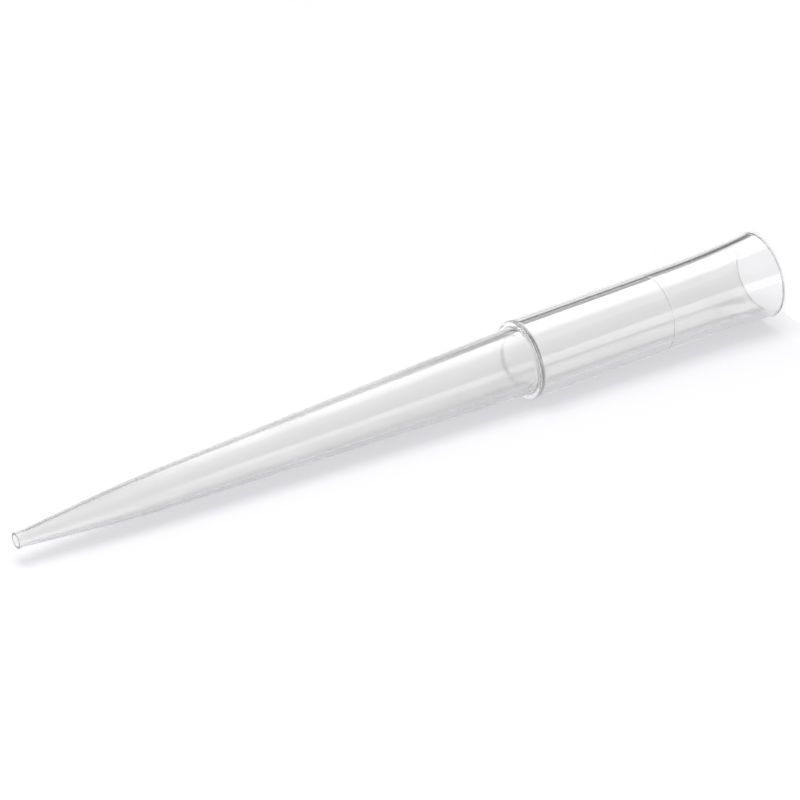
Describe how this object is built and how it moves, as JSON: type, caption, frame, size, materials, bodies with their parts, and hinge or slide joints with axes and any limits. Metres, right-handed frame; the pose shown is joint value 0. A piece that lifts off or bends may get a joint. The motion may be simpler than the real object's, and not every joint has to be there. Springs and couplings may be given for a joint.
{
  "type": "pipette tip",
  "caption": "Long tapered clear plastic tip, open at both ends, with a collar, an inner ring and a flared mouth that seats on a pipette cone.",
  "frame": {"origin": "centre of the mouth's rim, at the height of the surface the tip stands on", "axes": "+Z along the tip's axis, from the mouth to the nose"},
  "size_m": [0.0158, 0.0158, 0.15],
  "materials": {
    "clear_polypropylene": "clear moulded polypropylene, polished, slightly milky"
  },
  "bodies": {
    "root": {"pipette_tip": "clear_polypropylene"}
  },
  "joints": []
}
